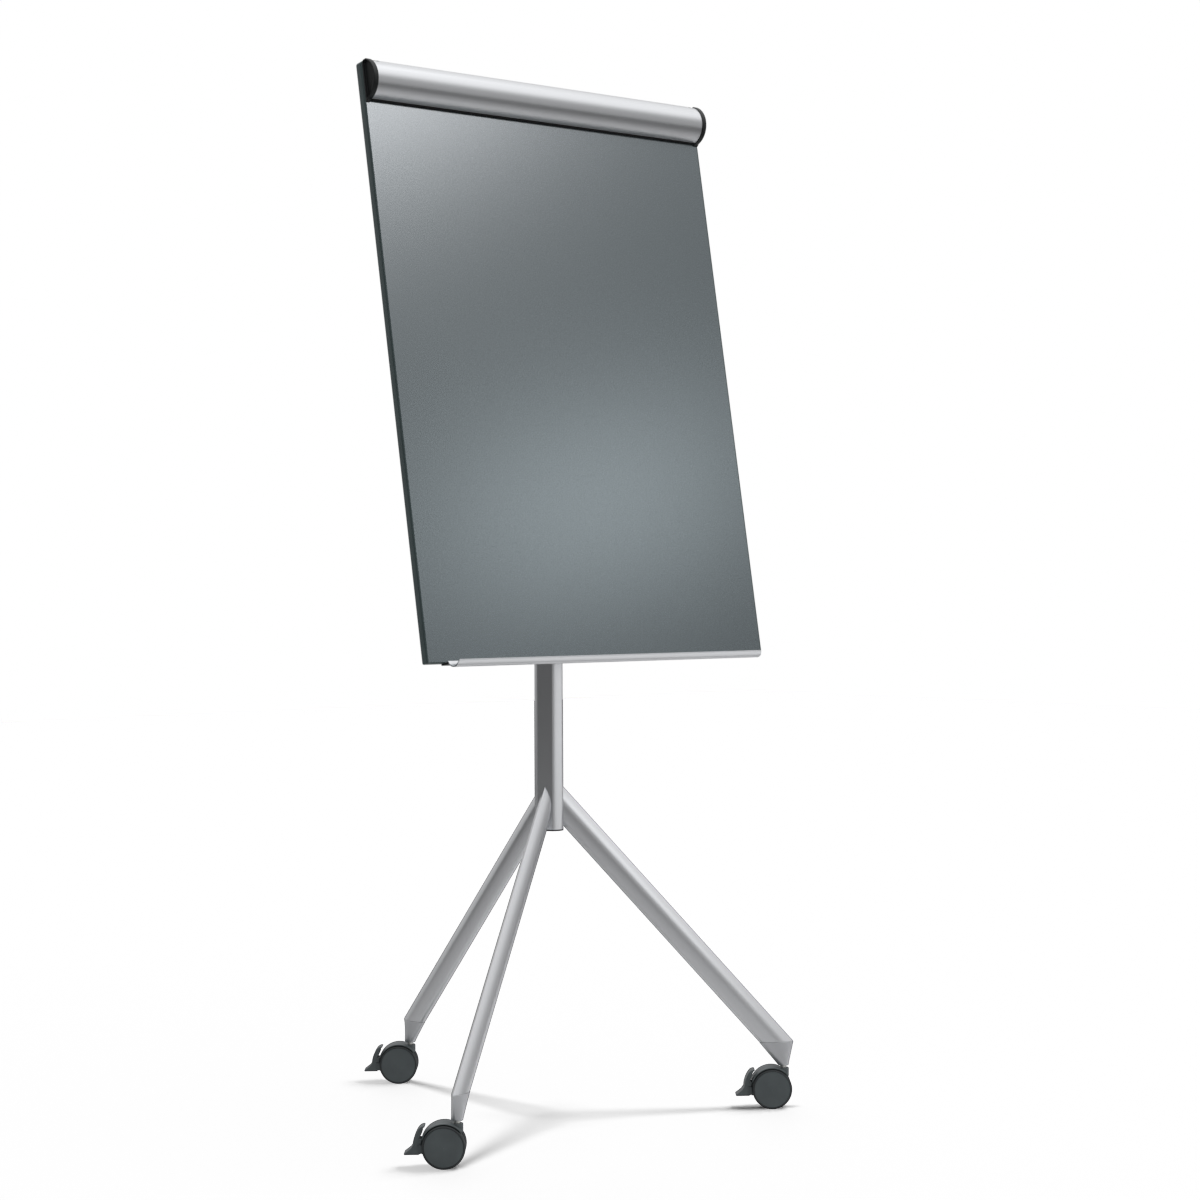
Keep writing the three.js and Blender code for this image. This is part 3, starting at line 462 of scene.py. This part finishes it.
def make_leg(name):
    place = leg_place(name)
    start, seam = LEG["start_x"], LEG["seam_z"]
    outer = [[leg_point(p, x=start) for p in leg_outline(0.5)]]
    outer += [[leg_point(p, x=start + 0.5) for p in leg_outline(0)]]
    outer += [[leg_point(p, z=seam + 0.5) for p in leg_outline(0)]]
    outer += [[leg_point(p, z=seam) for p in leg_outline(0.5)]]
    inner = [[leg_point(p, x=start) for p in leg_outline(LEG["wall"])]]
    inner += [[leg_point(p, z=seam) for p in leg_outline(LEG["wall"])]]
    shape = tube(outer, inner)
    metal = ALUMINIUM_LEG[name]
    piece("leg_profile_" + name, shape, place, metal, "stand", ["leg_" + name])
    top = [Vector(leg_point(p, z=seam - GAP)) for p in leg_outline(0)]
    count = len(top)

    def bottom(radius, z):
        turns = [2 * math.pi * i / count for i in range(count)]
        return [Vector((FOOT["stem_x"] + radius * math.sin(t), radius * math.cos(t), z)) for t in turns]

    radius, low = FOOT["bottom_radius"], FOOT["bottom_z"]
    centre = sum(top, Vector()) / count
    inset_top = [p + (centre - p).normalized() * 0.5 for p in top]
    waist = bottom(radius, low + 1.2)
    rings = [inset_top, [p - Vector((0, 0, 0.5)) for p in top]]
    rings += [[a.lerp(b, k / 6) for a, b in zip(rings[1], waist)] for k in range(1, 7)]
    rings += [bottom(radius - 0.4, low + 0.4), bottom(radius - 1.3, low)]
    piece("foot_casting_" + name, loft(rings), place, CAST, "stand", ["foot_" + name])


# ---- Castors ----


def across(outline, low, high):
    return prism(outline, lambda a, b, far: (a, far, b), low, high)


def make_castor(name):
    place = castor_place(name)
    body, x, z = "castor_" + name, CASTOR["trail"], CASTOR["wheel"]
    radius = HOOD["radius"]
    guard = arc(x, z, radius, HOOD["start"], HOOD["end"], 36)
    guard += arc(x, z, radius - HOOD["wall"], HOOD["end"], HOOD["start"], 36)
    guard_piece = across(guard, -HOOD["half_width"], HOOD["half_width"])
    bottom_angle = math.degrees(math.asin((z - HOOD["bottom"]) / WEB["radius"]))
    web = arc(x, z, radius - 0.2, WEB["start"] + 0.2, HOOD["end"] - 0.2, 44)
    web += arc(x, z, WEB["radius"], HOOD["end"] + 2, 180 + bottom_angle, 24)
    lug = arc(PEDAL["x"], PEDAL["z"], 3.8, -90, 100, 12)
    web_piece = across(web, -CASTOR["web"], CASTOR["web"])
    lug_half = CASTOR["web"] - 0.4
    lug_piece = across([(PEDAL["x"] - 6, PEDAL["z"] - 3.8)] + lug, -lug_half, lug_half)
    hood, node = merged(guard_piece, web_piece, lug_piece), "castor_hood_" + name
    piece("castor_fork_" + name, hood, place, GREY, body, [node], bevel=0.7)
    boss, top, bore = HOOD["boss"], HOOD["top"], 5.4
    boss_levels = [(boss - 3.6, top - 14), (boss, top - 14), (boss, top - 1.2)]
    boss_levels += [(boss - 0.4, top - 0.3), (boss - 1.4, top), (bore, top), (bore, top - 14)]
    boss_shape = lathe(boss_levels, "z", (0, 0, 0), 48)
    piece("castor_boss_" + name, boss_shape, place, GREY, body)
    pin_half = PEDAL["half_width"] - 1
    pin = bar(2, "y", -pin_half, pin_half, (PEDAL["x"], 0, PEDAL["z"]), 0.3, 20)
    piece("pedal_pin_" + name, pin, place, ZINC, body)
    for side, sign in (("front", 1), ("back", -1)):
        make_wheel(name, side, sign, place)
    make_pedal(name, place)


def make_wheel(name, side, sign, place):
    inner, outer = CASTOR["web"] + 0.4, CASTOR["half_width"]
    r = CASTOR["wheel"]
    profile = [(4.4, inner), (r - 1.6, inner), (r - 0.4, inner + 0.5), (r, inner + 1.6), (r, outer - 3.2)]
    profile += [(r - 0.25, outer - 2.2), (r - 0.9, outer - 1.5)]
    profile += [(r - 1.9, outer - 1.15), (r - 2.5, outer - 1.1)]
    profile += [(r - 2.7, outer - 1.6), (r - 3.2, outer - 1.6), (r - 3.4, outer - 0.98)]
    profile += [(r - 5.4, outer - 0.86), (r - 10, outer - 0.62), (r - 17, outer - 0.33)]
    profile += [(r - 25, outer - 0.1), (0.3, outer), (0.3, 18.6), (4.4, 18.6)]
    profile = [(radius, sign * far) for radius, far in profile]
    shape = lathe(profile, "y", (CASTOR["trail"], 0, CASTOR["wheel"]))
    body, node = f"wheel_{side}_{name}", f"castor_wheel_{side}_{name}"
    made = piece(body, shape, place, GREY, body, [node])
    made.data.materials.append(TREAD_AND_RIM_SHADE)
    axle = place @ Vector((CASTOR["trail"], 0, CASTOR["wheel"]))
    along = (place.to_3x3() @ Vector((0, 1, 0))).normalized()
    for face in made.data.polygons:
        away = face.center - axle
        level = abs(away.dot(along)) / MM
        radial = (away - along * away.dot(along)).length / MM
        # Faces beyond the groove get the dark material: real tread on the running surface, painted shade on
        # the rim of the wheel face.
        face.material_index = 1 if radial > TREAD_AND_RIM_SHADE_FROM and level < outer - 0.9 else 0


def make_pedal(name, place):
    x, z = CASTOR["trail"], CASTOR["wheel"]
    outline = arc(x, z, PEDAL["outer"], 3, 30, 14)
    crown, tip, under = outline[-1], (x + 31.8, z + 33.4), (x + 35.6, z + 23.4)
    outline += curve(crown, (crown[0] - 2.2, crown[1] + 4.2), (tip[0] + 5.6, tip[1] + 0.2), tip, 8)
    outline += [(tip[0] - 0.6, tip[1] - 0.5), (tip[0] - 0.3, tip[1] - 1.2)]
    outline += curve(outline[-1], (x + 34.6, z + 31), (x + 36, z + 27), under, 8)
    outline += arc(x, z, PEDAL["inner"], 30, -17, 18)
    outline += [(x + 63.4, z - 12.6), (x + 64.4, z - 12.2), (x + 64.3, z - 11.2), (x + 54, z - 3.4)]
    crescent = across(outline, -PEDAL["half_width"], PEDAL["half_width"])
    nose = arc(x, z, CASTOR["wheel"] + 0.7, -16, 4, 10) + arc(x, z, PEDAL["inner"] + 1, 4, -16, 10)
    inner = CASTOR["web"] + 0.4
    eye = arc(PEDAL["x"], PEDAL["z"], PEDAL["eye"] - 0.4, -115, 140, 20)
    sides = []
    for low, high in ((inner, PEDAL["half_width"] - 0.6), (0.6 - PEDAL["half_width"], -inner)):
        sides += [across(nose, low, high), across(eye, low, high)]
    grips, half = [], PEDAL["half_width"] - 2
    for k in range(4):
        top = Vector((x + 51.6, z - 1.7)).lerp(Vector((x + 64, z - 11.2)), 0.3 + 0.17 * k)
        grips.append(bar(0.5, "y", -half, half, (top.x, 0, top.y), 0.3, 12))
    lever = merged(crescent, *sides)
    body, node = "pedal_" + name, "brake_pedal_" + name
    piece("brake_lever_" + name, lever, place, GREY, body, [node], bevel=0.6)
    piece("brake_grip_" + name, merged(*grips), place, GREY, body)


# ---- Board ----


def board_outline(inset, steps=10):
    half, height = BOARD["width"] / 2 - inset, BOARD["height"] - inset
    low, high = BOARD["corner"] - inset, BOARD["top_corner"] - inset
    outline = arc(half - low, inset + low, low, -90, 0, steps)
    outline += arc(half - high, height - high, high, 0, 90, steps)
    outline += arc(high - half, height - high, high, 90, 180, steps)
    return outline + arc(low - half, inset + low, low, 180, 270, steps)


def panel_ring(inset, y):
    return [(x, y, z) for x, z in board_outline(inset)]


def make_board():
    depth = BOARD["thickness"]
    section = [(EDGE, 0.3), (EDGE - 0.2, 0), (0.6, 0), (0.2, 0.2), (0, 0.6)]
    section += [(0, GROOVE - 0.6), (0.15, GROOVE - 0.45), (0.8, GROOVE - 0.35), (0.8, GROOVE + 0.35)]
    section += [(0.15, GROOVE + 0.45), (0, GROOVE + 0.6), (0, depth - 1.2), (0.35, depth - 0.35)]
    section += [(0.9, depth), (EDGE, depth)]
    band = loft([panel_ring(inset, y) for inset, y in section], closed=True)
    nodes = ["edge_band_left", "edge_band_right", "edge_band_bottom", "edge_band_top"]
    piece("edge_banding", band, PANEL, EDGE_BAND, "board", nodes)
    inset = EDGE + GAP
    front, back = SHEET["inset"], depth - SHEET["inset"]
    thick = SHEET["thickness"]
    face = [panel_ring(inset, front + thick), panel_ring(inset, front + 0.2), panel_ring(inset + 0.2, front)]
    piece("writing_face", loft(face), PANEL, FACE, "board", ["board_face"])
    rear = [panel_ring(inset, back - thick), panel_ring(inset, back - 0.2), panel_ring(inset + 0.2, back)]
    piece("rear_sheet", loft(rear), PANEL, BACK, "board", ["board_back"])
    dress_node("board_core", CORE)


def on_board(y, z):
    """A place in the board's plane as (y, z) in the stand's upright frame."""
    c, n = math.cos(TILT), math.sin(TILT)
    return (BOARD["front_y"] + y * c + z * n, BOARD["z"] - y * n + z * c)


def tray_outline():
    front, wall = CARRIER["front"] - GAP, TRAY["wall"]
    flange = on_board(front, wall)
    deep = (BOARD["front_y"] - TRAY["deepest"], BOARD["z"] - TRAY["drop"])
    lip_y, lip_z = BOARD["front_y"] - TRAY["depth"], BOARD["z"] + TRAY["lip"]
    foot = on_board(front, -CARRIER["thickness"])
    low, inside = deep[1] - wall, lip_y + wall
    outline = [on_board(-0.6, 0), on_board(-0.6, wall - 0.3), on_board(-0.9, wall), flange]
    outline += curve(flange, (flange[0] - 3, flange[1] - 4), (deep[0] + 6, deep[1]), deep)
    outline += curve(deep, (deep[0] - 7, deep[1]), (inside, deep[1] + 3), (inside, lip_z - 0.6))
    outline += [(inside - 0.25, lip_z - 0.15), (inside - 0.7, lip_z)]
    outline += [(lip_y + 0.7, lip_z), (lip_y + 0.2, lip_z - 0.2), (lip_y, lip_z - 0.7)]
    outline += curve((lip_y, lip_z - 0.7), (lip_y, low + 0.6), (lip_y + 1, low), (deep[0], low))
    outline += curve((deep[0], low), (deep[0] + 5, low), (foot[0] - 3, foot[1] - 2), foot)
    return outline + [on_board(front, 0)], deep, (lip_y, lip_z)


def make_tray():
    outline, deep, lip = tray_outline()
    half, radius, low = TRAY["length"] / 2, TRAY["round"], deep[1] - TRAY["wall"]

    def left_end(y, z):
        if y > deep[0] - 4:
            return -half
        return TRAY["slant"] * max(0, (z - deep[1] - 1) / (lip[1] - deep[1])) - half

    def right_end(y, z):
        if y > deep[0] - 4 or z > low + radius:
            return half
        return half - radius + math.sqrt(max(0, radius**2 - (low + radius - z) ** 2))

    rings = [[(left_end(y, z), y, z) for y, z in outline]]
    rings += [[(x, y, z) for y, z in outline] for x in (12 - half, half - 12)]
    rings += [[(right_end(y, z), y, z) for y, z in outline]]
    tray, nodes = loft(rings), ["pen_tray"]
    piece("marker_tray", tray, STAND, ALUMINIUM_LEVEL, "board", nodes, bevel=0.3)
    refined("tray_carrier", "carrier_strip", BLACK, "board", 0.4)


# ---- Paper clamp ----


def sideways(outline, low, high):
    return prism(outline, lambda a, b, far: (far, a, b), low, high)


def shell(start):
    """The section of the clamp's cover, from an angle at its back to the lip at its front."""
    radius, inner = CLAMP["radius"], CLAMP["radius"] - CLAMP["wall"]
    outline = arc(CLAMP["y"], CLAMP["z"], radius, start, COVER["lip"], 64)
    outline += arc(CLAMP["y"], CLAMP["z"], inner, COVER["lip"], start, 64)
    return outline


def make_clamp():
    half = BOARD["width"] / 2 - CAP["width"] - GAP
    middle = CLAMP["knuckle_half"]
    pivot = (0, CLAMP["pivot_y"], CLAMP["pivot_z"])
    lip_z = RUBBER["top"] + GAP
    lip = [(-6.2, lip_z), (-1.2, lip_z), (-1.0, lip_z + 0.3)]
    lip += [(-1.0, lip_z + 1.9), (-1.3, lip_z + 2.2), (-6.2, lip_z + 2.2)]
    parts = [sideways(shell(COVER["back"]), -middle, middle), sideways(lip, -half, half)]
    end = shell(COVER["end_back"])
    parts += [sideways(end, middle, half), sideways(end, -half, -middle)]
    knuckle = [(CLAMP["bore"], -middle), (CLAMP["knuckle"] - 0.4, -middle)]
    knuckle.append((CLAMP["knuckle"], 0.4 - middle))
    knuckle += [(CLAMP["knuckle"], middle - 0.4), (CLAMP["knuckle"] - 0.4, middle), (CLAMP["bore"], middle)]
    parts.append(lathe(knuckle, "x", pivot, 40))
    cover, nodes = merged(*parts), ["clamp_cover"]
    piece("clamp_profile", cover, PANEL, ALUMINIUM_LEVEL, "clamp", nodes)
    strip_half = BOARD["width"] / 2 - CAP["width"] - 2
    back, front = RUBBER["back"], RUBBER["back"] - RUBBER["depth"]
    low, high = RUBBER["bottom"], RUBBER["top"]
    strip = [(back, low + 0.8), (back - 0.8, low), (front + 1, low), (front + 0.3, low + 0.3)]
    strip += [(front, low + 1), (front, high), (back, high)]
    rubber = sideways(strip, -strip_half, strip_half)
    piece("clamp_rubber", rubber, PANEL, RUBBER_SKIN, "clamp", ["rubber_strip"])
    dress_node("hinge_rod", ZINC)
    dress_node("hook_rail", ALUMINIUM_LEVEL)
    for side, sign in (("left", -1), ("right", 1)):
        make_end_cap(side, sign)
        refined("hinge_bracket_" + side, "rod_bracket_" + side, BLACK, "board", 0.3)
        refined("paper_hook_" + side, "pad_hook_" + side, BLACK, "hook_" + side, 0.3)


def cap_outline(inset):
    back = -0.8 - inset
    round_radius = CLAMP["knuckle"] + 0.2 - inset
    radius = CLAMP["radius"] + CAP["overhang"] - inset
    outline = [(back, CAP["bottom"] + inset)]
    outline += arc(CLAMP["pivot_y"], CLAMP["pivot_z"], round_radius, 0, 80, 12)
    outline += arc(CLAMP["y"], CLAMP["z"], radius, CAP["back"], COVER["lip"], 48)
    return outline


def make_end_cap(side, sign):
    outer_x = BOARD["width"] / 2
    inner_x = outer_x - CAP["width"]
    levels = [(0.6, inner_x), (0, inner_x + 0.5), (0, outer_x - 0.9), (0.25, outer_x - 0.3), (0.9, outer_x)]
    levels += [(CAP["rim"] - 0.6, outer_x), (CAP["rim"], outer_x - 0.5)]
    levels += [(CAP["rim"] + 0.3, outer_x - CAP["dish"] + 0.5), (CAP["rim"] + 1.0, outer_x - CAP["dish"])]
    shape = loft([[(sign * x, y, z) for y, z in cap_outline(inset)] for inset, x in levels])
    body, node = "clamp", "clamp_end_cap_" + side
    piece("clamp_cap_" + side, shape, PANEL, BLACK, body, [node])


# ---- Mast and head ----


def make_mast():
    outer = [level_ring(flatted(MAST["radius"], MAST["flat"]), z) for z in (MAST["bottom"], MAST["top"])]
    wall = MAST["wall"]
    bore = flatted(MAST["radius"] - wall, MAST["flat"] - wall)
    inner = [level_ring(bore, z) for z in (MAST["bottom"], MAST["top"])]
    piece("mast_profile", tube(outer, inner), STAND, ALUMINIUM_UPRIGHT, "board", ["mast"])
    refined("head_socket", "socket_block", CAST, "board", 1.2)
    refined("tilt_bracket", "lean_bracket", PLATE, "board", 0.8)
    for level in ("lower", "upper"):
        refined("head_bolt_" + level, "cross_bolt_" + level, ZINC, "board", 0.5)
    dress_node("mast_glide", BLACK)


# ---- Stage ----

CAMERA_AT = Vector((-2929, -3624, 957)) + COLUMN_AT
CAMERA_HEADING, CAMERA_PITCH, CAMERA_ROLL = 49.94, -0.54, -0.24
CAMERA_LENS = 79.1

# Each is a direction, the cosines between which the sky changes, and its strengths at both. They add up.
SKY = (
    ((0.62, -0.72, 0.12), -0.25, 0.95, 0.05, 0.4),
    ((0, 0, 1), 0.28, 0.68, 0.0, 0.82),
    ((0.11, 0.98, 0.15), 0.6, 0.97, 0.0, 0.5),
)


def make_camera():
    data = bpy.data.cameras.new("camera")
    data.lens = CAMERA_LENS
    data.sensor_width = 36
    data.clip_end = 100
    camera = bpy.data.objects.new("camera", data)
    bpy.context.scene.collection.objects.link(camera)
    heading, pitch, roll = (math.radians(a) for a in (CAMERA_HEADING, CAMERA_PITCH, CAMERA_ROLL))
    level_ahead = Vector((math.cos(heading), math.sin(heading), 0))
    ahead = level_ahead * math.cos(pitch) + Vector((0, 0, math.sin(pitch)))
    level = Vector((math.sin(heading), -math.cos(heading), 0))
    right = level * math.cos(roll) + level.cross(ahead) * math.sin(roll)
    up = right.cross(ahead)
    turn = Matrix((right, up, -ahead)).transposed().to_4x4()
    camera.matrix_world = Matrix.Translation(CAMERA_AT * MM) @ turn
    bpy.context.scene.camera = camera


def soft_light(name, at, towards, size, power):
    data = bpy.data.lights.new(name, "AREA")
    data.shape = "RECTANGLE"
    data.size, data.size_y = size
    data.energy = power
    light = bpy.data.objects.new(name, data)
    light.location = at
    light.rotation_euler = (Vector(towards) - Vector(at)).to_track_quat("-Z", "Y").to_euler()
    bpy.context.scene.collection.objects.link(light)
    return light


def make_world():
    """White to the camera, and to the object a sky that is bright above, at the right and behind."""
    world = bpy.data.worlds.new("studio")
    bpy.context.scene.world = world
    world.use_nodes = True
    nodes, links = world.node_tree.nodes, world.node_tree.links
    background = nodes["Background"]
    place = nodes.new("ShaderNodeTexCoord")

    def glow_towards(direction, start, end, low, high):
        dot = nodes.new("ShaderNodeVectorMath")
        dot.operation = "DOT_PRODUCT"
        dot.inputs[1].default_value = Vector(direction).normalized()
        links.new(place.outputs["Generated"], dot.inputs[0])
        node = nodes.new("ShaderNodeMapRange")
        node.interpolation_type = "SMOOTHSTEP"
        for name, value in zip(("From Min", "From Max", "To Min", "To Max"), (start, end, low, high)):
            node.inputs[name].default_value = value
        links.new(dot.outputs["Value"], node.inputs["Value"])
        return node.outputs["Result"]

    def added(first, second):
        node = nodes.new("ShaderNodeMath")
        links.new(first, node.inputs[0])
        links.new(second, node.inputs[1])
        return node.outputs["Value"]

    total = glow_towards(*SKY[0])
    for gradient in SKY[1:]:
        total = added(total, glow_towards(*gradient))
    rays = nodes.new("ShaderNodeLightPath")
    strength = nodes.new("ShaderNodeMapRange")
    links.new(rays.outputs["Is Camera Ray"], strength.inputs["Value"])
    links.new(total, strength.inputs["To Min"])
    strength.inputs["To Max"].default_value = 1.0
    links.new(strength.outputs["Result"], background.inputs["Strength"])
    background.inputs["Color"].default_value = (1, 1, 1, 1)


def make_floor():
    mesh = bpy.data.meshes.new("floor")
    reach = 12
    corners = [(-reach, -reach, 0), (reach, -reach, 0), (reach, reach, 0), (-reach, reach, 0)]
    mesh.from_pydata(corners, [], [(0, 1, 2, 3)])
    floor = bpy.data.objects.new("floor", mesh)
    bpy.context.scene.collection.objects.link(floor)
    floor.is_shadow_catcher = True
    mesh.materials.append(finish_of("floor", (0.035, 0.035, 0.035), 0, 0.7, variation=0.01, scale=10))


def named(name, starts):
    """A collection of the objects whose names start with any of these."""
    chosen = bpy.data.collections.new(name)
    for made in list(bpy.data.objects):
        if made.name.startswith(starts):
            chosen.objects.link(made)
    return chosen


def make_lights():
    """A light for all, glows for the face, a leg, column and tray, and two lights that shade the floor."""
    soft_light("overhead", (-0.4, -0.6, 3.9), (0, 0, 0.6), (3.2, 3.2), 10)
    upper = soft_light("upper_glow", (1.75, -2.95, 3.85), (-0.35, -0.11, 1.8), (1.4, 0.8), 24)
    upper.data.color = (1, 0.88, 0.86)
    upper.light_linking.receiver_collection = named("face_top", "writing_face")
    lower = soft_light("lower_glow", (2.58, -3.11, 2.25), (0.02, -0.24, 1.0), (0.9, 0.5), 4)
    lower.light_linking.receiver_collection = named("face_foot", "writing_face")
    leg = soft_light("leg_glow", (1.45, -2.75, 1.85), (0.2, -0.23, 0.33), (1.6, 1.0), 3)
    leg.light_linking.receiver_collection = named("right_leg", "leg_profile_right")
    column = soft_light("column_glow", (1.44, -1.81, 0.62), (0.025, -0.126, 0.62), (3.6, 0.9), 6.5)
    column.light_linking.receiver_collection = named("column_and_tray", ("column_profile", "marker_tray"))
    floor = named("floor_only", "floor")
    side = soft_light("floor_side", (1.7, -0.7, 2.8), (0, 0, 0), (1.5, 1.5), 440)
    side.light_linking.receiver_collection = floor
    low_pieces = ("foot_casting", "castor_", "wheel_", "brake_")
    side.light_linking.blocker_collection = named("near_the_floor", low_pieces)
    above = soft_light("floor_above", (0.025, -0.126, 5), (0.025, -0.126, 0), (0.72, 0.72), 1180)
    above.light_linking.receiver_collection = floor
    tall_pieces = ("column_", "leg_profile", "foot_casting")
    above.light_linking.blocker_collection = named("legs_and_column", tall_pieces)


make_camera()
make_column()
make_collar()
make_knob()
for leg_name in LEG_ANGLES:
    make_leg(leg_name)
    make_castor(leg_name)
    dress_node("leg_plug_" + leg_name, BLACK)
    dress_node("leg_bolt_" + leg_name, ZINC)
    dress_node("castor_stem_" + leg_name, ZINC)
    dress_node("castor_axle_" + leg_name, ZINC)
make_board()
make_tray()
make_clamp()
make_mast()
make_world()
make_floor()
make_lights()
bpy.context.scene.view_settings.view_transform = "Standard"
